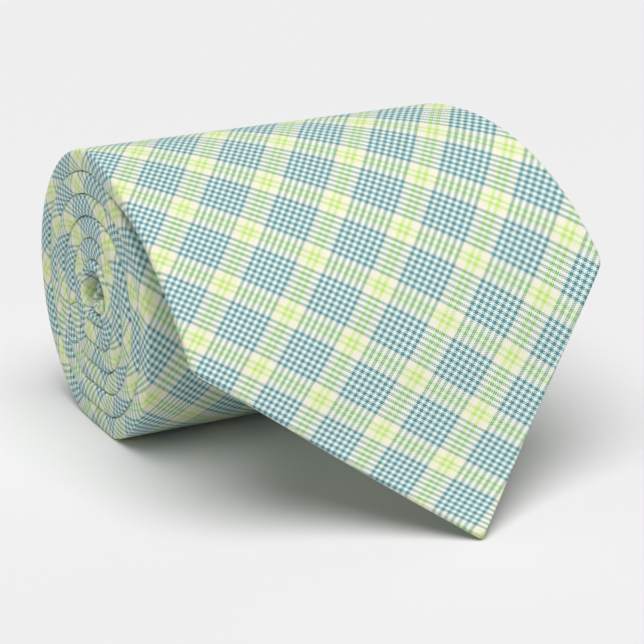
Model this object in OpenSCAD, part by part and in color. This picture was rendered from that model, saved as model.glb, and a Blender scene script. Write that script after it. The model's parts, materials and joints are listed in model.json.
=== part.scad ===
// Necktie, folded in half at the neck and rolled up from the fold.
// The roll lies on its side along X. The pointed front blade leaves the top
// of the roll and comes down toward -Y as a flap whose point meets the ground.
// Millimetres, +Z up, origin at the middle of the footprint, on the ground.

/* [Tie] */
// Length of the whole tie, point to point
tie_len = 1397; // [1380:1:1400]
// Width across the shoulders of the front blade
blade_w = 101.6; // [80:0.1:105]
// Width of the neck
neck_w = 40; // [34:1:44]
// Width across the shoulders of the tail
tail_w = 50; // [44:1:56]
// Where the taper of the front blade ends, measured from its point
taper_end = 700; // [640:10:760]
// Where the tail starts to widen, measured from the front point
tail_start = 900; // [840:10:960]
// Where the front blade is sewn to the neck piece
front_join = 640; // [600:10:700]
// Where the neck piece is sewn to the tail
tail_join = 1010; // [960:10:1060]

/* [Layers] */
// Thickness of the folded tie: cloth, interlining, cloth
layer_t = 2.1; // [1.8:0.1:2.3]
// Thickness of the shell cloth
cloth_t = 0.4; // [0.3:0.05:0.5]
// Room between the backs of the front half and the tail half
back_gap = 0.6; // [0.5:0.1:0.8]
// Room between one turn of the roll and the next
face_gap = 0.2; // [0.1:0.1:0.3]

/* [Roll and flap] */
// Radius of the roll at its top
roll_r = 34.45; // [34.4:0.05:35]
// Radius of the flap's bend where it leaves the roll
bend_r = 84; // [75:1:90]
// Steepest slope of the flap, in degrees
steep = 56; // [50:1:60]
// Slope of the flap at its point, in degrees
toe = 38; // [30:1:45]
// Sideways twist of the flap, rise per unit of width
twist = 0.09; // [0:0.01:0.12]

/* [Small parts] */
// Length of the keeper loop across the blade
keeper_len = 48; // [40:1:60]
// Width of the keeper loop
keeper_w = 8; // [6:1:12]
// Where the keeper loop sits, measured from the front point
keeper_at = 240; // [200:5:260]
// Size of the blank name label, across and along the blade
label_size = [40, 26]; // [10:1:50]
// Size of the blank care tag, across and along the blade
tag_size = [15, 22]; // [8:1:30]

/* [Hidden] */

steps = 24;             // straight steps in one turn of the roll
neck_cut = 825;         // the neck piece is made as two nodes that meet here, past the fold
half_t = layer_t / 2;
turn_pitch = 2 * layer_t + back_gap + face_gap;
front_r = roll_r - half_t;                 // middle of the front half, at the top
back_r = front_r - layer_t - back_gap;     // middle of the tail half, at the top
flat_r = front_r - turn_pitch * (0.5 + 1 / steps);
roll_z = half_t + flat_r * cos(360 / steps) - 0.05; // height of the axis: the roll lies flat below

// Flap: one arc that bends down from the roll, one that eases off to the point
tip_z = half_t * cos(toe);
root_drop = bend_r * (1 - cos(steep));
toe_r = (roll_z + front_r - tip_z - root_drop) / (cos(toe) - cos(steep));
root_len = bend_r * steep * PI / 180;
toe_len = toe_r * (steep - toe) * PI / 180;
flap_len = root_len + toe_len;
flap_reach = bend_r * sin(steep) + toe_r * (sin(steep) - sin(toe)) + half_t * sin(toe);
roll_y = (flap_reach - (roll_r - turn_pitch / 4)) / 2; // roll's axis from the origin

// Roll: number of turns that takes up the rest of the tie
fold_r = (front_r - back_r) / 2;
fold_len = PI * fold_r;
sum_r = front_r + back_r;
turns_q = (tie_len - flap_len - fold_len) / (2 * PI);
turns = (sum_r - sqrt(sum_r * sum_r - 4 * turn_pitch * turns_q)) / (2 * turn_pitch);
fold_at = flap_len + spiral_len(front_r, turns);
tail_at = fold_at + fold_len;

root_gap = 1.9;         // free room between the flap's root and the roll, for the hinge
blunt = 0.8;            // half width of each point
hem = 8.5;              // turned edge at each point, measured along the tie
open_front = 70;        // where the front blade's folded edges meet
open_tail = 38;         // where the tail's folded edges meet
slit = 0.4;             // half the opening between the folded edges
lining_t = 0.2;
ease = 0.15;            // room between cloth, lining and interlining
lining_v = -half_t + cloth_t + ease;
felt_v = [lining_v + lining_t + ease, half_t - cloth_t - ease];
stuck_on = 0.12;        // room between the back of the tie and what is sewn to it
side_room = 0.3;        // room between interlining and side folds
thread = 0.4;

cloth = "#8fb7b4";
felt = "#ece6d6";
lining = "#e6e4d2";
yarn = "#f4efdc";
paper = "#f7f5ee";

function spiral_len(r, n) = 2 * PI * (r * n - turn_pitch / 2 * n * n);

// Width of the tie, and width of the same strip without its points
function full_w(s) = lookup(s, [[blade_w / 2, blade_w], [taper_end, neck_w],
                                [tail_start, neck_w], [tie_len, tail_w]]);
function half_w(s) = max(blunt, min(full_w(s) / 2, s, tie_len - s));

// Half the opening between the folded edges on the back
function tip_open(d, meet) = max(slit, min(d - hem, meet - d));
function opening(s) =
    min(half_w(s) - cloth_t - 0.2, max(tip_open(s, open_front), tip_open(tie_len - s, open_tail)));

// A mark is [y, z, heading]: the middle of the cloth's thickness, and the
// direction of travel from the front point to the tail. On the roll's underside
// each turn is pressed flat, one above the other.
function bed(n, lift) = half_t + lift + turn_pitch * floor(n);
function roll_mark(r, n, lift, turned) =
    let (q = r - turn_pitch * n, z = roll_z + q * cos(360 * n), low = z < bed(n, lift),
         a = low ? 180 + 360 * floor(n) : 360 * n)
    [roll_y + q * sin(360 * n), low ? bed(n, lift) : z, turned - a];
function front_mark(n) = roll_mark(front_r, n, 0, 0);
function tail_mark(n) = roll_mark(back_r, n, layer_t + back_gap, 180);
function fold_mark(k) =
    let (a = 360 * turns, r = (front_r + back_r) / 2 - turn_pitch * turns, h = -a - 180 * k)
    [roll_y + r * sin(a) - fold_r * sin(h), roll_z + r * cos(a) + fold_r * cos(h), h];
function flap_mark(s) =
    let (b = flap_len - s, a = b < root_len ? b / bend_r * 180 / PI
                                            : steep - (b - root_len) / toe_r * 180 / PI)
    b < root_len
    ? [roll_y - bend_r * sin(a), roll_z + front_r - bend_r * (1 - cos(a)), a]
    : [roll_y - bend_r * sin(steep) - toe_r * (sin(steep) - sin(a)),
       roll_z + front_r - root_drop - toe_r * (cos(a) - cos(steep)), a];

// Knots are [s, mark] at every corner of the strip, from point to point
function spread(a, b, step) = let (n = ceil((b - a) / step)) [for (i = [0:n - 1]) a + (b - a) * i / n];
function tail_s(n) = tail_at + spiral_len(back_r, turns) - spiral_len(back_r, n);
last_whole = floor(turns * steps - 0.05);
flap_corners = [0, hem, (open_front + hem) / 2, blade_w / 2, open_front, flap_len];
flap_knots = [for (i = [0:len(flap_corners) - 2])
              each [for (s = spread(flap_corners[i], flap_corners[i + 1], 5.8)) [s, flap_mark(s)]]];
front_knots = [for (i = [0:last_whole]) [flap_len + spiral_len(front_r, i / steps), front_mark(i / steps)]];
fold_knots = [for (k = [0:6]) [fold_at + fold_len * k / 6, fold_mark(k / 6)]];
tail_knots = [for (i = [last_whole:-1:0]) [tail_s(i / steps), tail_mark(i / steps)]];
knots = concat(flap_knots, front_knots, fold_knots, tail_knots);

// A station is [s, y, z, out_y, out_z, lean], straight between the knots, so that
// every piece follows the same facets
at_y = [for (k = knots) [k[0], k[1][0]]];
at_z = [for (k = knots) [k[0], k[1][1]]];
at_out_y = [for (k = knots) [k[0], -sin(k[1][2])]];
at_out_z = [for (k = knots) [k[0], cos(k[1][2])]];
at_lean = [for (k = knots) [k[0], k[0] < flap_len ? twist * sin(180 * k[0] / flap_len) : 0]];
function station(s) = [s, lookup(s, at_y), lookup(s, at_z), lookup(s, at_out_y),
                       lookup(s, at_out_z), lookup(s, at_lean)];
tail_corners = [for (d = [open_tail, tail_w / 2, (open_tail + hem) / 2, hem]) tie_len - d];
stops = [for (i = [0:len(knots) - 2])
         each concat([knots[i][0]],
                     [for (c = tail_corners) if (c > knots[i][0] + 0.05 && c < knots[i + 1][0] - 0.05) c])];
function run(s0, s1) = [for (s = concat([s0], [for (k = stops) if (k > s0 + 0.05 && k < s1 - 0.05) k], [s1]))
                        station(s)];

// From a station and [across, out of the face] to a point
edge_x = -full_w(flap_len) / 2;
function middle_x(s) = s < flap_len ? 0 : edge_x + full_w(s) / 2;
function place(st, p) = [middle_x(st[0]) + p[0], st[1] + p[1] * st[3],
                         st[2] + p[1] * st[4] + p[0] * st[5]];

// Sections across the strip. Each side has a corner in the middle, so that twisted
// surfaces stay the same distance apart.
function shell_sec(s) =
    let (w = half_w(s), g = opening(s), b = -half_t, c = cloth_t)
    [[-g, b], [-w, b], [-w, -b], [0, -b], [w, -b], [w, b], [g, b], [g, b + c],
     [w - c, b + c], [w - c, -b - c], [0, -b - c], [c - w, -b - c], [c - w, b + c], [-g, b + c]];
function bar_sec(x0, x1, v) =
    let (m = (x0 + x1) / 2) [[x1, v[0]], [m, v[0]], [x0, v[0]], [x0, v[1]], [m, v[1]], [x1, v[1]]];
function fill_sec(s, v) = let (w = max(0.3, half_w(s) - cloth_t - side_room)) bar_sec(-w, w, v);

// Flat pieces that close the end of a sweep: two for a bar, six for a shell
bar_cap = [[0, 1, 4, 5], [1, 2, 3, 4]];
shell_cap = [[0, 1, 12, 13], [1, 2, 11, 12], [2, 3, 10, 11], [3, 4, 9, 10], [4, 5, 8, 9], [5, 6, 7, 8]];

// Sweeps one section along a run of stations. Every four-sided facet is split from
// its left corner at the start to its right corner at the end.
module sweep(run, secs) {
    m = len(secs[0]);
    cap = m == 6 ? bar_cap : shell_cap;
    last = len(run) - 1;
    points = [for (i = [0:last]) for (p = secs[i]) place(run[i], p)];
    sides = [for (i = [0:last - 1]) for (j = [0:m - 1])
             let (k = (j + 1) % m, a = i * m + j, b = i * m + k, right = secs[i][k][0] >= secs[i][j][0])
             each right ? [[a, b, b + m], [a, b + m, a + m]] : [[a, b, a + m], [b, b + m, a + m]]];
    first_end = [for (f = cap) [f[3], f[2], f[1], f[0]]];
    last_end = [for (f = cap) [for (j = f) last * m + j]];
    polyhedron(points, concat(sides, first_end, last_end), convexity = 12);
}
module shell(s0, s1) { r = run(s0, s1); sweep(r, [for (st = r) shell_sec(st[0])]); }
module fill(s0, s1, v) { r = run(s0, s1); sweep(r, [for (st = r) fill_sec(st[0], v)]); }
module bar(s0, s1, x0, x1, v) { r = run(s0, s1); sweep(r, [for (st = r) bar_sec(x0, x1, v)]); }

wrap_start = flap_len + root_gap;
on_back = [-half_t - stuck_on - 0.25, -half_t - stuck_on];   // what is sewn to the back
in_seam = [-half_t, -half_t + cloth_t - 0.05];                // thread between the returns
lining_span = [lining_v, lining_v + lining_t];

module front_blade_flap() { color(cloth) shell(0, flap_len); }
module interlining_flap() { color(felt) fill(3, flap_len - 0.1, felt_v); }
module front_tipping() { color(lining) fill(3, open_front + 4, lining_span); }
module bar_tack_front() { color(yarn) bar(open_front + 2, open_front + 3.2, -4, 4, on_back); }
module slip_stitch_flap() {
    color(yarn) bar(open_front + 5, flap_len - 0.3, -thread / 2, thread / 2, in_seam);
}
module front_blade_wrap() { color(cloth) shell(wrap_start, front_join - 0.25); }
module neck_shell_front() { color(cloth) shell(front_join + 0.25, neck_cut - 0.15); }
module neck_shell_back() { color(cloth) shell(neck_cut + 0.15, tail_join - 0.25); }
module tail_shell() { color(cloth) shell(tail_join + 0.25, tie_len); }
module interlining_front() { color(felt) fill(wrap_start + 0.1, fold_at - 10, felt_v); }
module interlining_tail() { color(felt) fill(fold_at - 9.8, tie_len - 4, felt_v); }
module tail_tipping() { color(lining) fill(tie_len - open_tail - 4, tie_len - 4, lining_span); }
module bar_tack_tail() {
    color(yarn) bar(tie_len - open_tail - 3.2, tie_len - open_tail - 2, -4, 4, on_back);
}
module slip_stitch_roll() {
    color(yarn) {
        bar(wrap_start + 0.3, front_join - 1, -thread / 2, thread / 2, in_seam);
        bar(tail_join + 1, tie_len - open_tail - 5, -thread / 2, thread / 2, in_seam);
    }
}
module keeper_loop() {
    color(cloth) bar(keeper_at - keeper_w / 2, keeper_at + keeper_w / 2, -keeper_len / 2, keeper_len / 2,
                     on_back);
}
module name_label() {
    at = keeper_at + 14;
    color(paper) bar(at, at + label_size[1], -label_size[0] / 2, label_size[0] / 2, on_back);
}
module care_tag() {
    at = keeper_at + 60;
    color(paper) bar(at, at + tag_size[1], 3, 3 + tag_size[0], on_back);
}
module join_seam_front() { color(yarn) shell(front_join - 0.2, front_join + 0.2); }
module join_seam_tail() { color(yarn) shell(tail_join - 0.2, tail_join + 0.2); }

front_blade_flap();
interlining_flap();
front_tipping();
bar_tack_front();
slip_stitch_flap();
front_blade_wrap();
neck_shell_front();
neck_shell_back();
tail_shell();
interlining_front();
interlining_tail();
tail_tipping();
bar_tack_tail();
slip_stitch_roll();
keeper_loop();
name_label();
care_tag();
join_seam_front();
join_seam_tail();
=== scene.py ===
"""A necktie, folded in half and rolled up, whose pointed front blade comes down as a flap.

Every piece is cloth or thread in the place that the CAD frame gives it. A strip
position is (u, s): u across the tie from its middle line, s along it from the
front point. Metres, +Z up, the point toward -Y.
"""

import json
import math

import bpy
import numpy as np
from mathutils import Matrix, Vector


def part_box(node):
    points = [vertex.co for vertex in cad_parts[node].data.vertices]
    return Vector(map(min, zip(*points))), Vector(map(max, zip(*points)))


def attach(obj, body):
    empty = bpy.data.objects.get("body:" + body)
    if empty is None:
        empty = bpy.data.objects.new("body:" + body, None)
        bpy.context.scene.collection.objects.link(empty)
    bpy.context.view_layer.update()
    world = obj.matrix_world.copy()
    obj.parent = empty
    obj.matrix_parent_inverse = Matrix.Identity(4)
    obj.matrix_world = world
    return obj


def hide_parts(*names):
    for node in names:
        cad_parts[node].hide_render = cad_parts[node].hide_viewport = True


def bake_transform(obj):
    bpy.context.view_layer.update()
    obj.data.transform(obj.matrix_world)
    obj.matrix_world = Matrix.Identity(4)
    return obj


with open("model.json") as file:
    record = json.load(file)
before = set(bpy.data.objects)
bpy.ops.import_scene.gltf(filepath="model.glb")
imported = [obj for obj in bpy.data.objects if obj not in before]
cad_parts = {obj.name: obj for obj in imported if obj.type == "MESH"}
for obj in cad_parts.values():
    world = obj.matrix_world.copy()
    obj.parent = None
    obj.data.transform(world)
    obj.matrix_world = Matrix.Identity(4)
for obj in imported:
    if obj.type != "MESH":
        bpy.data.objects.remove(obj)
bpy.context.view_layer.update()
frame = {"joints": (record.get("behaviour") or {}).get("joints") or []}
MM = 0.001

# ---- The tie, as part.scad has it ----
TIE_LEN = 1397 * MM
PRESSED = 0.972  # width of the blade over its solid's, fitted to the photograph's outline
SHOULDER_W = PRESSED * (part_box("front_blade_flap")[1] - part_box("front_blade_flap")[0]).x
POINT_LEN = 1.028  # length of each point over half its width, fitted in the same way
NECK_W = 40 * MM
TAIL_W = 50 * MM
TAPER_END = 700 * MM
TAIL_START = 900 * MM
FRONT_JOIN = 640 * MM
TAIL_JOIN = 1010 * MM
LAYER_T = 2.1 * MM
HALF_T = LAYER_T / 2
BACK_GAP = 0.6 * MM
FACE_GAP = 0.2 * MM
TURN_PITCH = 2 * LAYER_T + BACK_GAP + FACE_GAP
HEM = 8.5 * MM
OPEN_FRONT = 70 * MM
OPEN_TAIL = 38 * MM
SLIT = 0.15 * MM
TWIST = 0.09

# ---- The roll and the flap: the hinge line is on the roll's top ----
HINGE = np.array(frame["joints"][0]["pos_m"])
ROLL_Y = HINGE[1]
FRONT_R = 33.4 * MM
BACK_R = FRONT_R - LAYER_T - BACK_GAP
ROLL_Z = HINGE[2] - FRONT_R
BEND_R = 84 * MM
STEEP = math.radians(56)
TOE = math.radians(38)
ROOT_DROP = BEND_R * (1 - math.cos(STEEP))
TOE_R = (HINGE[2] - HALF_T * math.cos(TOE) - ROOT_DROP) / (math.cos(TOE) - math.cos(STEEP))
ROOT_LEN = BEND_R * STEEP
FLAP_LEN = ROOT_LEN + TOE_R * (STEEP - TOE)

# ---- Cloth ----
CLOTH_T = 0.3 * MM
EDGE_T = 1.3 * MM  # thickness of the pressed edges at the points
THIN_TO, FULL_FROM = 4 * MM, 64 * MM  # where the thickness starts and ends growing
TURN_R = 0.34 * MM  # radius of the turned-in edge of each return
TURN_IN = 4 * MM
FAT_FOLD = 2.8 * MM  # how far the roll's left folds swell into the room behind them
FAT_REACH = 5.5 * MM
POINT_R = 1.1 * MM  # rounding of each point
TIP_AT = POINT_R * (math.sqrt(2) - 1) + 0.03 * MM  # where the rounded point begins


def spiral_len(r, n):
    return 2 * math.pi * (r * n - TURN_PITCH / 2 * n * n)


FOLD_R = (FRONT_R - BACK_R) / 2
SUM_R = FRONT_R + BACK_R
TURNS = (
    SUM_R
    - math.sqrt(
        SUM_R**2
        - 4 * TURN_PITCH * (TIE_LEN - FLAP_LEN - math.pi * FOLD_R) / (2 * math.pi)
    )
) / (2 * TURN_PITCH)
FOLD_AT = FLAP_LEN + spiral_len(FRONT_R, TURNS)
TAIL_AT = FOLD_AT + math.pi * FOLD_R


# ---------------------------------------------------------------- the path


def roll_points(n, r, lift):
    """Where the middle of the thickness is after n turns: a spiral, pressed flat below."""
    q = r - TURN_PITCH * n
    y = ROLL_Y + q * np.sin(2 * np.pi * n)
    z = ROLL_Z + q * np.cos(2 * np.pi * n)
    bed = HALF_T + lift + TURN_PITCH * np.floor(n + 0.02)
    soft = 0.25 * MM
    return y, bed + soft * np.logaddexp(0, (z - bed) / soft)


def turns_for(r, length):
    return (r - np.sqrt(r * r - TURN_PITCH * length / math.pi)) / TURN_PITCH


def raw_path(s):
    """(y, z) of the strip's middle line at each s."""
    back = FLAP_LEN - s
    a = np.where(back < ROOT_LEN, back / BEND_R, STEEP - (back - ROOT_LEN) / TOE_R)
    flap_y = np.where(
        back < ROOT_LEN,
        ROLL_Y - BEND_R * np.sin(a),
        ROLL_Y - BEND_R * math.sin(STEEP) - TOE_R * (math.sin(STEEP) - np.sin(a)),
    )
    flap_z = np.where(
        back < ROOT_LEN,
        HINGE[2] - BEND_R * (1 - np.cos(a)),
        HINGE[2] - ROOT_DROP - TOE_R * (np.cos(a) - math.cos(STEEP)),
    )
    n = turns_for(FRONT_R, np.clip(s - FLAP_LEN, 0, FOLD_AT - FLAP_LEN))
    front_y, front_z = roll_points(n, FRONT_R, 0)
    left = spiral_len(BACK_R, TURNS) - np.clip(s - TAIL_AT, 0, TIE_LEN - TAIL_AT)
    tail_y, tail_z = roll_points(turns_for(BACK_R, left), BACK_R, LAYER_T + BACK_GAP)
    turn = 2 * np.pi * TURNS
    core = SUM_R / 2 - TURN_PITCH * TURNS
    h = -turn - (s - FOLD_AT) / FOLD_R
    fold_y = ROLL_Y + core * math.sin(turn) - FOLD_R * np.sin(h)
    fold_z = ROLL_Z + core * math.cos(turn) + FOLD_R * np.cos(h)
    parts = [s < FLAP_LEN, s < FOLD_AT, s < TAIL_AT]
    return (
        np.select(parts, [flap_y, front_y, fold_y], tail_y),
        np.select(parts, [flap_z, front_z, fold_z], tail_z),
    )


PATH_STEP = 0.25 * MM
path_s = np.arange(0, TIE_LEN + PATH_STEP, PATH_STEP)
path_y, path_z = raw_path(path_s)
path_h = np.unwrap(np.arctan2(np.gradient(path_z), np.gradient(path_y)))


def path_at(s):
    """(y, z, heading) along the middle line."""
    return (
        np.interp(s, path_s, path_y),
        np.interp(s, path_s, path_z),
        np.interp(s, path_s, path_h),
    )


# ---------------------------------------------------------------- the strip


def full_width(s):
    return np.interp(
        s,
        [POINT_LEN * SHOULDER_W / 2, TAPER_END, TAIL_START, TIE_LEN],
        [SHOULDER_W, NECK_W, NECK_W, TAIL_W],
    )


def half_width(s):
    """Half the width, with the right-angled points rounded at the tip and shoulders."""
    soft = 0.5 * MM
    end = np.minimum(s, TIE_LEN - s) / POINT_LEN
    side = full_width(s) / 2
    cut = side - soft * np.logaddexp(0, (side - end) / soft)
    tip = end - POINT_R * (math.sqrt(2) - 1)
    round_tip = np.sqrt(np.clip(2 * POINT_R * tip - tip**2, 0, None))
    return np.where(tip < POINT_R * (1 - math.sqrt(0.5)), round_tip, cut)


def opening(s):
    """Half the opening between the two returns on the back."""

    def at_point(d, meet):
        return np.maximum(SLIT, np.minimum(d - HEM, meet - d))

    wide = np.maximum(at_point(s, OPEN_FRONT), at_point(TIE_LEN - s, OPEN_TAIL))
    return np.minimum(0.3 * half_width(s) + np.maximum(0, wide - 2 * MM), wide)


def half_thickness(s):
    """Thin at the pressed points, full where the felt is."""
    grow = ease(np.minimum(s, TIE_LEN - s), THIN_TO, FULL_FROM)
    return (EDGE_T + (LAYER_T - EDGE_T) * grow) / 2


def ripple(s, wave, seed):
    """A slow irregular wave along the strip, between about -1 and 1."""
    k = 2 * np.pi * s / wave
    slow = 0.55 * np.sin(k + seed) + 0.3 * np.sin(1.73 * k + 2.1 * seed)
    return slow + 0.15 * np.sin(3.1 * k + 0.7 * seed)


def ease(x, start, end):
    """0 at start, 1 at end, smooth between."""
    t = np.clip((x - start) / (end - start), 0, 1)
    return t * t * (3 - 2 * t)


def middle_x(s):
    """The front half's left edges are level in the roll, and the tail half's lie behind
    their fat folds."""
    flush = -full_width(FLAP_LEN) / 2 + full_width(s) / 2
    wander = 0.5 * MM * ripple(s, 90 * MM, 1.3)
    wander *= ease(s, FLAP_LEN + 150 * MM, FLAP_LEN + 210 * MM)
    behind = 6.5 * MM * ease(s, TAIL_AT + 2 * MM, TAIL_AT + 24 * MM)
    return np.where(s < FLAP_LEN, 0, flush + wander + behind)


def swell(s):
    """How much the left fold swells inward at each s."""
    rise = ease(s, FLAP_LEN - 34 * MM, FLAP_LEN - 4 * MM)
    return FAT_FOLD * rise * (1 - ease(s, FOLD_AT - 50 * MM, FOLD_AT - 24 * MM))


def lean(s):
    return np.where(s < FLAP_LEN, TWIST * np.sin(np.pi * s / FLAP_LEN), 0)


def place(s, u, v):
    """Strip positions, and v out of the face, to points in the frame."""
    y, z, h = path_at(s)
    up_y, up_z = -np.sin(h), np.cos(h)
    return np.stack(
        [middle_x(s) + u, y + v * up_y, z + v * up_z + u * lean(s)], axis=-1
    )


def strip_rows(s0, s1, step):
    return np.linspace(s0, s1, max(2, math.ceil((s1 - s0) / step) + 1))


def strip_runs(*runs):
    """Rows along the strip, each run (start, end, step) going on where the last one ends."""
    rows = [strip_rows(start, end, step)[:-1] for start, end, step in runs]
    return np.concatenate([*rows, [runs[-1][1]]])


# ---------------------------------------------------------------- meshes


def new_object(name, points, faces, cloth=None, smooth=True):
    mesh = bpy.data.meshes.new(name)
    mesh.from_pydata([tuple(p) for p in points], [], [tuple(f) for f in faces])
    if cloth is not None:
        data = mesh.attributes.new("cloth", "FLOAT_VECTOR", "POINT")
        flat = np.zeros((len(points), 3), np.float32)
        flat[:, :2] = cloth
        data.data.foreach_set("vector", flat.ravel())
    mesh.polygons.foreach_set("use_smooth", [smooth] * len(mesh.polygons))
    mesh.update()
    ob = bpy.data.objects.new(name, mesh)
    bpy.context.scene.collection.objects.link(ob)
    return ob


def grid_quads(rows, cols, start=0):
    i = np.arange(rows - 1)[:, None] * cols + np.arange(cols - 1)[None, :] + start
    i = i.ravel()
    return np.stack([i, i + 1, i + cols + 1, i + cols], axis=1)


def grid_normals(p):
    along = np.gradient(p, axis=0)
    across = np.gradient(p, axis=1)
    n = np.cross(across, along)
    return n / np.maximum(np.linalg.norm(n, axis=2, keepdims=True), 1e-12)


def thick_sheet(name, face, cloth, thickness):
    """A closed sheet: face is a grid of points on its right side, thickness one value a row."""
    rows, cols = face.shape[:2]
    count = rows * cols
    back = face - grid_normals(face) * np.reshape(thickness, (-1, 1, 1))
    quads = grid_quads(rows, cols)
    rim = np.concatenate(
        [
            np.arange(cols),
            np.arange(1, rows) * cols + cols - 1,
            (rows - 1) * cols + np.arange(cols - 2, -1, -1),
            np.arange(rows - 2, 0, -1) * cols,
        ]
    )
    after = np.roll(rim, -1)
    sides = np.stack([after, rim, rim + count, after + count], axis=1)
    faces = np.concatenate([quads, quads[:, ::-1] + count, sides])
    points = np.concatenate([face.reshape(-1, 3), back.reshape(-1, 3)])
    flat = np.tile(cloth.reshape(-1, 2), (2, 1))
    return new_object(name, points, faces, flat)


# ---------------------------------------------------------------- the shell

FRONT_N, FOLD_N, RETURN_N, TURN_N = 20, 11, 16, 5


def half_section(s, fat):
    """One side of the folded shell at each s: (u, v, girth, girth at the side fold) from the
    middle of the face out to the side fold, back along the return, and in round its turned
    edge. fat is how far the fold swells. Near the points, where the tie is hardly wider than
    it is thick, every part shrinks with the width."""
    w, h = half_width(s), half_thickness(s)
    h = np.minimum(h, 0.75 * w)
    top, low = 2 * h - HALF_T, -HALF_T
    r = np.minimum(h, 0.85 * w)
    turn = np.minimum(TURN_R, 0.3 * h)
    gap = np.minimum(opening(s), 0.6 * w)
    t = np.linspace(0, 1, FRONT_N)[:, None]
    front = (t * (w - r), top + 0 * t)
    a = np.linspace(0, np.pi, FOLD_N + 2)[1:-1, None]
    squarer = 0.8 - 0.25 * fat / FAT_FOLD
    fold = (
        w - r + r * np.sin(a) ** squarer,
        top - (top - low + fat) * (1 - np.cos(a)) / 2,
    )
    t = np.linspace(0, 1, RETURN_N)[:, None] ** 1.8
    last = np.minimum(gap + turn, w - r - 0.02 * MM)
    across = (w - r) * (1 - t) + last * t
    back = (across, low - fat * ease(across, w - FAT_REACH, w - r))
    a = np.linspace(0, np.pi, TURN_N + 2)[1:-1, None]
    bend = (last - turn * np.sin(a), low + turn * (1 - np.cos(a)))
    t = np.linspace(0, 1, 3)[:, None]
    inside = np.minimum(TURN_IN, 0.6 * (w - r - last))
    under = (last + inside * t, low + 2 * turn + 0 * t)
    u, v = (
        np.concatenate([x[k] for x in (front, fold, back, bend, under)])
        for k in range(2)
    )
    steps = np.hypot(np.diff(u, axis=0), np.diff(v, axis=0))
    girth = np.concatenate([np.zeros((1, len(s))), np.cumsum(steps, axis=0)])
    return u, v, girth, girth[FRONT_N + FOLD_N // 2]


def shell_grid(s):
    """The folded shell's outer side as (rows, columns, 3), with its flat cloth position."""
    slope = np.gradient(half_width(s), s)
    sides = []
    for sign, fat in ((-1, swell(s)), (1, 0 * s)):
        u, v, girth, edge = half_section(s, fat)
        past = np.maximum(0, girth - edge)
        flat_u = np.minimum(girth, edge) - past + 2 * past / (1 + slope**2)
        flat_s = s - 2 * past * slope / (1 + slope**2)
        sides.append((sign * u, v, sign * flat_u, flat_s))
    u, v, flat_u, flat_s = (np.concatenate([a[:0:-1], b]).T for a, b in zip(*sides))
    at = np.broadcast_to(s[:, None], u.shape)
    return place(at, u, v), np.stack([flat_u, flat_s], axis=-1)


# How far the check leans across and along the tie, BOW_SPAN from the blade's widest place. These
# six are not worked out from the tie: they were fitted to the photograph's check and rounded.
BOW_MIDDLE, BOW_SPAN, BOW_END = 60 * MM, 50 * MM, 1.2
ACROSS_BY_U, ACROSS_BY_BOTH, ACROSS_BY_S = -2.7 * MM, 0.3 * MM, -1.05 * MM
ALONG_BY_U, ALONG_BY_BOTH, ALONG_BY_S = 0.4 * MM, -7.9 * MM, -6.5 * MM


def bowed(cloth):
    """Where in the straight check each cloth position is: the rows bow toward the roll, and
    no further than BOW_END spans up the tie."""
    soft = 0.15
    a = cloth[..., 0] / BOW_SPAN
    b = (cloth[..., 1] - BOW_MIDDLE) / BOW_SPAN
    b = -soft * np.logaddexp(-b / soft, -BOW_END / soft)
    shift_u = ACROSS_BY_U * a * a + ACROSS_BY_BOTH * a * b + ACROSS_BY_S * b * b
    shift_s = ALONG_BY_U * a * a + ALONG_BY_BOTH * a * b + ALONG_BY_S * b * b
    return cloth + np.stack([shift_u, shift_s], axis=-1)


def flat_strip(s, u0, u1, v, count=9):
    """A grid of points between u0 and u1 at height v, at each s."""
    t = np.linspace(0, 1, count)[None, :]
    u0, u1, v = (np.broadcast_to(np.asarray(x), s.shape)[:, None] for x in (u0, u1, v))
    u = u0 + (u1 - u0) * t
    at = np.broadcast_to(s[:, None], u.shape)
    return place(at, u, v + 0 * t), np.stack([u, at], axis=-1)


# ---------------------------------------------------------------- materials


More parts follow.
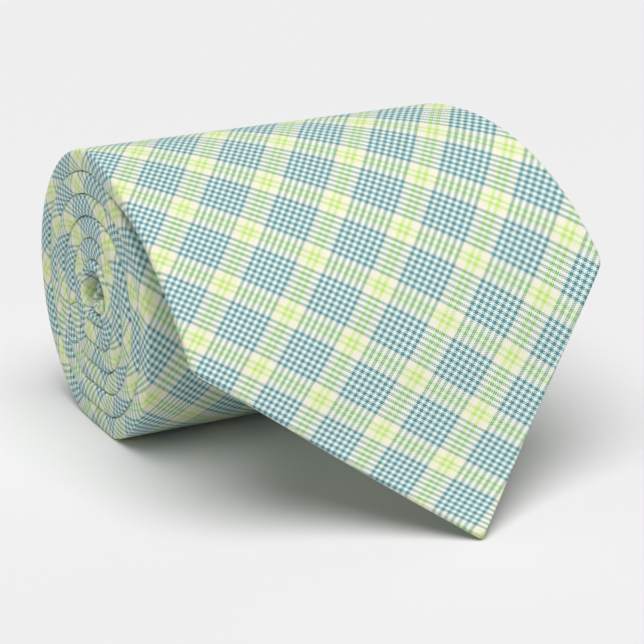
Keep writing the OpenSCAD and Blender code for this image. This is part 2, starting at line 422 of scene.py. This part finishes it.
class Nodes:
    """Short names for the shader nodes that the materials are made of."""

    def __init__(self, name):
        self.material = bpy.data.materials.new(name)
        self.material.use_nodes = True
        self.tree = self.material.node_tree
        self.tree.nodes.clear()
        self.out = self.tree.nodes.new("ShaderNodeOutputMaterial")

    def put(self, socket, value):
        if isinstance(value, bpy.types.NodeSocket):
            self.tree.links.new(value, socket)
        else:
            socket.default_value = value

    def math(self, operation, *values):
        n = self.tree.nodes.new("ShaderNodeMath")
        n.operation = operation
        for socket, value in zip(n.inputs, values):
            self.put(socket, value)
        return n.outputs[0]

    def vector(self, operation, *values):
        n = self.tree.nodes.new("ShaderNodeVectorMath")
        n.operation = operation
        for socket, value in zip(n.inputs, values):
            self.put(socket, value)
        return n.outputs["Value" if operation == "DOT_PRODUCT" else "Vector"]

    def choose(self, pick, a, b):
        """The number a where pick is 1, and b where it is 0."""
        rest = self.math("SUBTRACT", 1, pick)
        return self.math("ADD", self.math("MULTIPLY", pick, a), self.math("MULTIPLY", rest, b))

    def mix(self, factor, a, b):
        n = self.tree.nodes.new("ShaderNodeMix")
        n.data_type = "RGBA"
        self.put(n.inputs["Factor"], factor)
        self.put(n.inputs["A"], a)
        self.put(n.inputs["B"], b)
        return n.outputs["Result"]

    def noise(self, vector, scale, detail=2.0):
        n = self.tree.nodes.new("ShaderNodeTexNoise")
        self.put(n.inputs["Vector"], vector)
        n.inputs["Scale"].default_value = scale
        n.inputs["Detail"].default_value = detail
        return n.outputs["Fac"]

    def random(self, value):
        n = self.tree.nodes.new("ShaderNodeTexWhiteNoise")
        n.noise_dimensions = "1D"
        self.put(n.inputs["W"], value)
        return n.outputs["Value"]

    def range(self, value, low, high):
        n = self.tree.nodes.new("ShaderNodeMapRange")
        self.put(n.inputs["Value"], value)
        n.inputs["To Min"].default_value, n.inputs["To Max"].default_value = low, high
        return n.outputs["Result"]

    def bump(self, height, distance, strength=1.0):
        n = self.tree.nodes.new("ShaderNodeBump")
        self.put(n.inputs["Height"], height)
        n.inputs["Distance"].default_value = distance
        n.inputs["Strength"].default_value = strength
        return n.outputs["Normal"]

    def cloth(self):
        n = self.tree.nodes.new("ShaderNodeAttribute")
        n.attribute_name = "cloth"
        return n.outputs["Vector"]

    def place(self):
        return self.tree.nodes.new("ShaderNodeTexCoord").outputs["Object"]

    def shade(self, colour, normal, roughness, sheen=0.2, specular=0.35):
        n = self.tree.nodes.new("ShaderNodeBsdfPrincipled")
        self.put(n.inputs["Base Color"], colour)
        self.put(n.inputs["Normal"], normal)
        self.put(n.inputs["Roughness"], roughness)
        n.inputs["Sheen Weight"].default_value = sheen
        n.inputs["Sheen Roughness"].default_value = 0.45
        n.inputs["Specular IOR Level"].default_value = specular
        self.tree.links.new(n.outputs[0], self.out.inputs["Surface"])
        return self.material


def linear(r, g, b):
    """An sRGB colour in 0-255 as Blender's linear colour."""

    def one(c):
        c /= 255
        return c / 12.92 if c <= 0.04045 else ((c + 0.055) / 1.055) ** 2.4

    return (one(r), one(g), one(b), 1)


# The check: both ways, cream yarns with two lime bands, then stripes of teal and pale yarns
YARNS = 64  # in one repeat
CHECK = 16 * MM  # length of one repeat
GROUND_YARNS = 25
LIME_OUT, LIME_HALF = 3, 2  # a yarn is lime within LIME_HALF of LIME_OUT from the ground's middle
STRIPE = 3
BIAS_A = math.radians(43.8)
BIAS_B = math.radians(46.6)
CHECK_AT = np.array([-36.9, 46.0]) * MM
YARN_ROUND = 3.2  # how far a yarn's height falls toward its sides
REPEATS_BELOW = 40  # keeps every yarn's count above zero
CREAM, PALE = linear(250, 248, 225), linear(236, 250, 241)
TEAL, LIME = linear(83, 150, 161), linear(199, 241, 104)


def check_axes():
    """The two directions of the check, as what turns (u, s) into yarn counts."""
    across = np.array([math.cos(BIAS_A), -math.sin(BIAS_A)]) * CHECK
    along = np.array([math.cos(BIAS_B), math.sin(BIAS_B)]) * CHECK
    return np.linalg.inv(np.stack([across, along], axis=1)) * YARNS


def weave(k, flat):
    """Colour and height of the check in a plain weave."""
    axes = check_axes()
    yarns, inside = [], []
    for row in axes:
        offset = GROUND_YARNS / 2 - float(row @ CHECK_AT) + YARNS * REPEATS_BELOW
        count = k.math("ADD", k.vector("DOT_PRODUCT", flat, (row[0], row[1], 0)), offset)
        whole = k.math("FLOOR", count)
        yarns.append(whole)
        inside.append(k.math("SUBTRACT", k.math("FRACT", count), 0.5))
    colours = []
    for whole in yarns:
        at = k.math("MODULO", whole, YARNS)
        in_check = k.math("GREATER_THAN", at, GROUND_YARNS - 0.5)
        stripe = k.math("MODULO", k.math("SUBTRACT", at, GROUND_YARNS), 2 * STRIPE)
        teal = k.math("MULTIPLY", in_check, k.math("LESS_THAN", stripe, STRIPE - 0.5))
        off = k.math("ABSOLUTE", k.math("SUBTRACT", at, GROUND_YARNS / 2 - 0.5))
        from_band = k.math("ABSOLUTE", k.math("SUBTRACT", off, LIME_OUT))
        lime = k.math("LESS_THAN", from_band, LIME_HALF)
        ground = k.mix(in_check, CREAM, PALE)
        colour = k.mix(teal, k.mix(lime, ground, LIME), TEAL)
        worn = k.range(k.random(whole), 0.93, 1.0)
        colours.append(k.vector("SCALE", colour, (0, 0, 0), (0, 0, 0), worn))
    parity = k.math("MODULO", k.math("ADD", yarns[0], yarns[1]), 2)
    over = k.math("LESS_THAN", parity, 0.5)
    squares = [k.math("MULTIPLY", x, x) for x in inside]
    crown = [k.math("SUBTRACT", 1, k.math("MULTIPLY", x, YARN_ROUND)) for x in squares]
    return k.mix(over, colours[1], colours[0]), k.choose(over, crown[0], crown[1])


def shell_cloth():
    k = Nodes("shell_cloth")
    flat = k.cloth()
    colour, height = weave(k, flat)
    soft = k.noise(flat, 90, 3)
    fibre = k.noise(flat, 9000, 2)
    # painted shade: the colour darkens toward each yarn's sides, where it dips by its neighbours;
    # the slow noise varies the tone at random
    shade = k.math("MULTIPLY", k.range(soft, 0.96, 1.03), k.range(height, 0.86, 1.0))
    colour = k.vector("SCALE", colour, (0, 0, 0), (0, 0, 0), shade)
    fine = k.math("ADD", height, k.math("MULTIPLY", fibre, 0.35))
    normal = k.bump(fine, 0.03 * MM, 0.6)
    return k.shade(colour, normal, k.range(soft, 0.6, 0.7), sheen=0.03, specular=0.15)


def plain_weave(name, colour, shade_and_fibre_colour, thread, rough=0.6, distance=0.05 * MM, sheen=0.2):
    """A plain woven cloth, felt or label: warp and weft of one colour, with fibre noise."""
    k = Nodes(name)
    flat = k.cloth()
    a = k.vector("DOT_PRODUCT", flat, (1 / thread, 0, 0))
    b = k.vector("DOT_PRODUCT", flat, (0, 1 / thread, 0))
    warp = k.math("ABSOLUTE", k.math("SINE", k.math("MULTIPLY", a, math.pi)))
    weft = k.math("ABSOLUTE", k.math("SINE", k.math("MULTIPLY", b, math.pi)))
    parity = k.math("MODULO", k.math("ADD", k.math("FLOOR", a), k.math("FLOOR", b)), 2)
    over = k.math("LESS_THAN", k.math("ABSOLUTE", parity), 0.5)
    height = k.choose(over, warp, weft)
    fibre = k.noise(flat, 2500, 4)
    # painted shade: the colour goes toward the darker colour where each yarn dips by its
    # neighbours; the fibre noise varies the tone at random
    yarn_shade_and_fibre = k.math("MULTIPLY", height, k.range(fibre, 0.5, 1.15))
    normal = k.bump(k.math("ADD", height, fibre), distance, 0.7)
    return k.shade(k.mix(yarn_shade_and_fibre, shade_and_fibre_colour, colour), normal, rough, sheen=sheen)


def thread_material():
    k = Nodes("thread")
    at = k.place()
    wound = k.math("SINE", k.vector("DOT_PRODUCT", at, (9000, 5000, 7000)))
    fibre = k.noise(at, 6000, 3)
    colour = k.mix(fibre, linear(205, 200, 180), linear(246, 241, 224))
    normal = k.bump(k.math("ADD", wound, fibre), 0.03 * MM, 0.6)
    return k.shade(colour, normal, k.range(fibre, 0.4, 0.55), sheen=0.3)


SHELL = shell_cloth()
LINING = plain_weave(
    "tipping", linear(238, 235, 220), linear(205, 202, 186), thread=0.16 * MM, rough=0.4
)
FELT = plain_weave(
    "interlining",
    linear(236, 230, 214),
    linear(196, 188, 170),
    thread=0.6 * MM,
    rough=0.9,
    distance=0.15 * MM,
    sheen=0.5,
)
LABEL = plain_weave(
    "label", linear(247, 245, 238), linear(214, 211, 203), thread=0.2 * MM, rough=0.45
)
THREAD = thread_material()


# ---------------------------------------------------------------- pieces


def dress(ob, material, body=None):
    ob.data.materials.append(material)
    if body:
        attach(ob, body)
    return ob


WRAP_END = FLAP_LEN + spiral_len(FRONT_R, 0.5)  # the bottom of the roll's outer turn


def bend_at_hinge(ob):
    """Cloth that leaves the roll's top; its place is baked into its mesh."""
    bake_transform(ob)


def shell_part(name, rows, nodes, shift=(0, 0), body="roll"):
    """One stretch of the shell, with the flat sheet between its two ends that it is folded
    from. shift moves its check, as the next piece of cloth is cut from another place."""
    face, cloth = shell_grid(rows)
    room = np.minimum(half_thickness(rows), 0.75 * half_width(rows))
    thin = np.minimum(CLOTH_T, 0.7 * room)
    ob = thick_sheet(name, face, bowed(cloth) + np.array(shift), thin)
    dress(ob, SHELL, body)
    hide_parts(*nodes)
    return ob


def make_shells():
    fine = 12 * MM
    seam = 0.2 * MM
    rows = strip_runs((TIP_AT, fine, 0.6 * MM), (fine, WRAP_END, 1.6 * MM))
    blade = shell_part("front_blade_cloth", rows, ["front_blade_flap"], body=None)
    bend_at_hinge(blade)
    rows = strip_rows(WRAP_END, FRONT_JOIN, 2.2 * MM)
    shell_part("front_blade_cloth_wound", rows, ["front_blade_wrap"])
    rows = strip_runs(
        (FRONT_JOIN + seam, FOLD_AT - 5 * MM, 2 * MM),
        (FOLD_AT - 5 * MM, TAIL_AT + 5 * MM, 0.5 * MM),
        (TAIL_AT + 5 * MM, TAIL_JOIN - seam, 2 * MM),
    )
    nodes = ["neck_shell_front", "neck_shell_back"]
    shell_part("neck_cloth", rows, nodes, (4.1 * MM, 2.7 * MM))
    rows = strip_runs(
        (TAIL_JOIN, TIE_LEN - fine, 2.2 * MM), (TIE_LEN - fine, TIE_LEN - TIP_AT, 0.6 * MM)
    )
    shell_part("tail_cloth", rows, ["tail_shell"], (-2.3 * MM, 6.6 * MM))


LINING_T = 0.18 * MM
LINING_V = -HALF_T + CLOTH_T + 0.12 * MM
LINING_IN = 1.1 * MM  # from the side folds
FELT_LOW, FELT_HIGH = -0.2 * MM, 0.6 * MM
FELT_IN = 1.6 * MM  # from the side folds
FELT_LEAST = 0.4 * MM  # half the felt's width at the points


def felt_piece(name, s0, s1, step, node, blended=False):
    s = strip_rows(s0, s1, step)
    half = np.maximum(FELT_LEAST, half_width(s) - FELT_IN)
    top = FELT_HIGH - 2 * (HALF_T - half_thickness(s))
    grid, cloth = flat_strip(s, -half, half, top, 17)
    thin = np.minimum(FELT_HIGH - FELT_LOW, 2 * half_thickness(s) - 0.9 * MM)
    ob = thick_sheet(name, grid, cloth, thin)
    dress(ob, FELT, None if blended else "roll")
    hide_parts(node)
    if blended:
        bend_at_hinge(ob)


def make_interlinings():
    bend = (3 * MM, WRAP_END, 2 * MM)
    front = (WRAP_END + 0.1 * MM, FOLD_AT - 10 * MM, 2.5 * MM)
    tail = (FOLD_AT - 9.8 * MM, TIE_LEN - 4 * MM, 1.2 * MM)
    felt_piece("interlining_front_bend", *bend, "interlining_flap", blended=True)
    felt_piece("interlining_front_wound", *front, "interlining_front")
    felt_piece("interlining_tail_wound", *tail, "interlining_tail")


def tipping_piece(name, s0, s1, body, node):
    s = strip_rows(s0, s1, 1.5 * MM)
    half = half_width(s) - LINING_IN
    grid, cloth = flat_strip(s, -half, half, LINING_V, 33)
    ob = thick_sheet(name, grid, cloth, np.full(len(s), LINING_T))
    dress(ob, LINING, body)
    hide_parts(node)


def make_tippings():
    under, end = 4 * MM, 3 * MM
    front = (end, OPEN_FRONT + under)
    tail = (TIE_LEN - OPEN_TAIL - under, TIE_LEN - end)
    tipping_piece("front_tipping_cloth", *front, "flap", "front_tipping")
    tipping_piece("tail_tipping_cloth", *tail, "roll", "tail_tipping")


# ---- Thread ----


def tube(points, radius, sides=8):
    """Points and faces of a thread with round ends, along a smooth list of points."""
    points = np.asarray(points, float)
    ahead = np.gradient(points, axis=0)
    ahead /= np.linalg.norm(ahead, axis=1, keepdims=True)
    side = np.cross(ahead, [0.3, 0.5, 0.8])
    side /= np.linalg.norm(side, axis=1, keepdims=True)
    up = np.cross(side, ahead)
    a = np.arange(sides) / sides * 2 * np.pi
    size = np.full(len(points), radius)
    size[[0, -1]] *= 0.35
    ring = np.cos(a)[None, :, None] * side[:, None] + np.sin(a)[None, :, None] * up[:, None]
    p = points[:, None] + ring * size[:, None, None]
    faces = []
    for i in range(len(points) - 1):
        for j in range(sides):
            k = (j + 1) % sides
            here, ahead_row = i * sides, (i + 1) * sides
            faces.append((here + j, here + k, ahead_row + k, ahead_row + j))
    last = (len(points) - 1) * sides
    faces.append(tuple(range(sides - 1, -1, -1)))
    faces.append(tuple(last + j for j in range(sides)))
    return p.reshape(-1, 3), faces


def threads(name, runs, radius):
    """One object of several threads."""
    points, faces, start = [], [], 0
    for run in runs:
        p, f = tube(run, radius)
        points.append(p)
        faces += [tuple(i + start for i in face) for face in f]
        start += len(p)
    return new_object(name, np.concatenate(points), faces)


def stitch(s0, u0, s1, u1, v, arch, count=9):
    """A thread that comes up at one point of the strip and goes down at another."""
    t = np.linspace(0, 1, count)
    rise = np.sin(np.pi * t) ** 0.6 * arch
    return place(s0 + (s1 - s0) * t, u0 + (u1 - u0) * t, v + rise)


BACK_V = -HALF_T


def bar_tack(name, s, body, node):
    """Close satin stitches across the meeting of the folded edges, over three laid threads."""
    runs = []
    reach, length, count = 4.5 * MM, 1.6 * MM, 22
    laid_apart, laid_arch = 0.35 * MM, -0.3 * MM
    for k in (-1, 0, 1):
        at = s + k * laid_apart
        runs.append(stitch(at, -reach, at, reach, BACK_V, laid_arch, 15))
    margin, slant, satin_v, satin_arch = 0.3 * MM, 0.12 * MM, BACK_V + 0.1 * MM, -0.55 * MM
    start, end = s - length / 2, s + length / 2
    for u in np.linspace(margin - reach, reach - margin, count):
        runs.append(stitch(start, u, end, u + slant, satin_v, satin_arch))
    ob = threads(name, runs, 0.16 * MM)
    dress(ob, THREAD, body)
    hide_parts(node)


def slip_stitches(s0, s1, pitch=7 * MM):
    """Slanted stitches that catch both folded edges."""
    reach, ahead, v, arch = 1.1 * MM, 1.5 * MM, BACK_V + 0.05 * MM, -0.18 * MM
    return [stitch(s, -reach, s + ahead, reach, v, arch) for s in np.arange(s0, s1, pitch)]


def seam_stitches(at):
    """Short machine stitches round the strip where two pieces of shell are joined."""
    half = float(half_width(np.array([at]))[0])
    pitch, margin, arch, runs = 2.2 * MM, 2 * MM, 0.06 * MM, []
    for v, out in ((HALF_T, arch), (BACK_V, -arch)):
        for u in np.arange(margin - half, half - margin - pitch, pitch):
            runs.append(stitch(at, u, at, u + 0.8 * pitch, v, out, 7))
    return runs


def thread_piece(name, runs, radius, node, body=None):
    ob = threads(name, runs, radius)
    dress(ob, THREAD, body)
    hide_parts(node)
    return ob


SLIP_R, SEAM_R = 0.14 * MM, 0.12 * MM


def make_thread():
    beyond = 2.6 * MM
    bar_tack("bar_tack_front_thread", OPEN_FRONT + beyond, "flap", "bar_tack_front")
    bar_tack("bar_tack_tail_thread", TIE_LEN - OPEN_TAIL - beyond, "roll", "bar_tack_tail")
    runs = slip_stitches(OPEN_FRONT + 8 * MM, WRAP_END)
    bend_at_hinge(thread_piece("slip_stitch_bend", runs, SLIP_R, "slip_stitch_flap"))
    runs = slip_stitches(WRAP_END + 3 * MM, FRONT_JOIN - 4 * MM)
    runs += slip_stitches(TAIL_JOIN + 4 * MM, TIE_LEN - OPEN_TAIL - 8 * MM)
    thread_piece("slip_stitch_wound", runs, SLIP_R, "slip_stitch_roll", "roll")
    for end, at in (("front", FRONT_JOIN), ("tail", TAIL_JOIN)):
        name = f"join_seam_{end}"
        thread_piece(f"{name}_thread", seam_stitches(at), SEAM_R, name, "roll")


# ---- Keeper loop, label and tag ----

KEEPER_AT, KEEPER_W, KEEPER_LEN = 240 * MM, 8 * MM, 48 * MM
KEEPER_LIFT, KEEPER_T = 0.05 * MM, 0.42 * MM
LABEL_AT = KEEPER_AT + 14 * MM
LABEL_W, LABEL_LEN = 40 * MM, 26 * MM
TAG_AT, TAG_SIDE = KEEPER_AT + 60 * MM, 3 * MM
TAG_W, TAG_LEN = 15 * MM, 22 * MM
RIBBON_LIFT, RIBBON_T = 0.06 * MM, 0.25 * MM


def patch(name, along, across, step, lift, thickness):
    """A rectangle of cloth on the back of the blade, between two places along it and two
    across it."""
    s = strip_rows(*along, step)
    grid, cloth = flat_strip(s, *across, BACK_V - lift)
    return thick_sheet(name, grid, cloth, np.full(len(s), thickness))


def ribbon(name, start, length, left, width, node):
    """A woven label, blank, sewn flat on the back of the blade."""
    along, across = (start, start + length), (left, left + width)
    ob = patch(name, along, across, 1.2 * MM, RIBBON_LIFT, RIBBON_T)
    dress(ob, LABEL, "roll")
    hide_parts(node)


def make_small_parts():
    along = (KEEPER_AT - KEEPER_W / 2, KEEPER_AT + KEEPER_W / 2)
    across = (-KEEPER_LEN / 2, KEEPER_LEN / 2)
    loop = patch("keeper_loop_cloth", along, across, 0.8 * MM, KEEPER_LIFT, KEEPER_T)
    dress(loop, SHELL, "roll")
    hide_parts("keeper_loop")
    ribbon("name_label_woven", LABEL_AT, LABEL_LEN, -LABEL_W / 2, LABEL_W, "name_label")
    ribbon("care_tag_woven", TAG_AT, TAG_LEN, TAG_SIDE, TAG_W, "care_tag")


# ---------------------------------------------------------------- studio


def make_camera():
    """The photograph's view. For a chosen distance, its values were fitted to the outline."""
    azimuth, elevation, away = math.radians(-27.38), math.radians(19.48), 501 * MM
    aim = np.array([-11.8, -14.4, 34.2]) * MM
    back = np.array(
        [
            math.sin(azimuth) * math.cos(elevation),
            -math.cos(azimuth) * math.cos(elevation),
            math.sin(elevation),
        ]
    )
    data = bpy.data.cameras.new("camera")
    data.lens, data.sensor_width = 130.57, 36
    data.clip_start, data.clip_end = 0.02, 20
    cam = bpy.data.objects.new("camera", data)
    bpy.context.scene.collection.objects.link(cam)
    cam.location = aim + back * away
    cam.rotation_euler = (math.pi / 2 - elevation, 0, azimuth)
    bpy.context.scene.camera = cam


def make_floor():
    far = 6
    corners = [(-far, -far, 0), (far, -far, 0), (far, far, 0), (-far, far, 0)]
    floor = new_object("floor", corners, [(0, 1, 2, 3)], smooth=False)
    k = Nodes("floor")
    grain = k.noise(k.place(), 6, 2)
    colour = k.mix(grain, linear(234, 234, 234), linear(235, 235, 235))
    normal = k.bump(grain, 0.01 * MM, 0.1)
    floor.data.materials.append(k.shade(colour, normal, 0.9, sheen=0, specular=0.1))


def make_light():
    """A broad soft light overhead, a little toward the camera, and a dim sky."""
    world = bpy.data.worlds.new("studio")
    world.use_nodes = True
    sky = world.node_tree.nodes["Background"]
    sky.inputs["Color"].default_value = (1, 0.96, 1, 1)
    sky.inputs["Strength"].default_value = 0.21
    bpy.context.scene.world = world
    sun = bpy.data.lights.new("key", "SUN")
    sun.energy, sun.angle = 2.74, math.radians(58)
    key = bpy.data.objects.new("key", sun)
    bpy.context.scene.collection.objects.link(key)
    key.rotation_euler = (math.radians(13), 0, math.radians(-30))
    bpy.context.scene.view_settings.view_transform = "Standard"


make_camera()
make_floor()
make_light()
make_shells()
make_interlinings()
make_tippings()
make_thread()
make_small_parts()
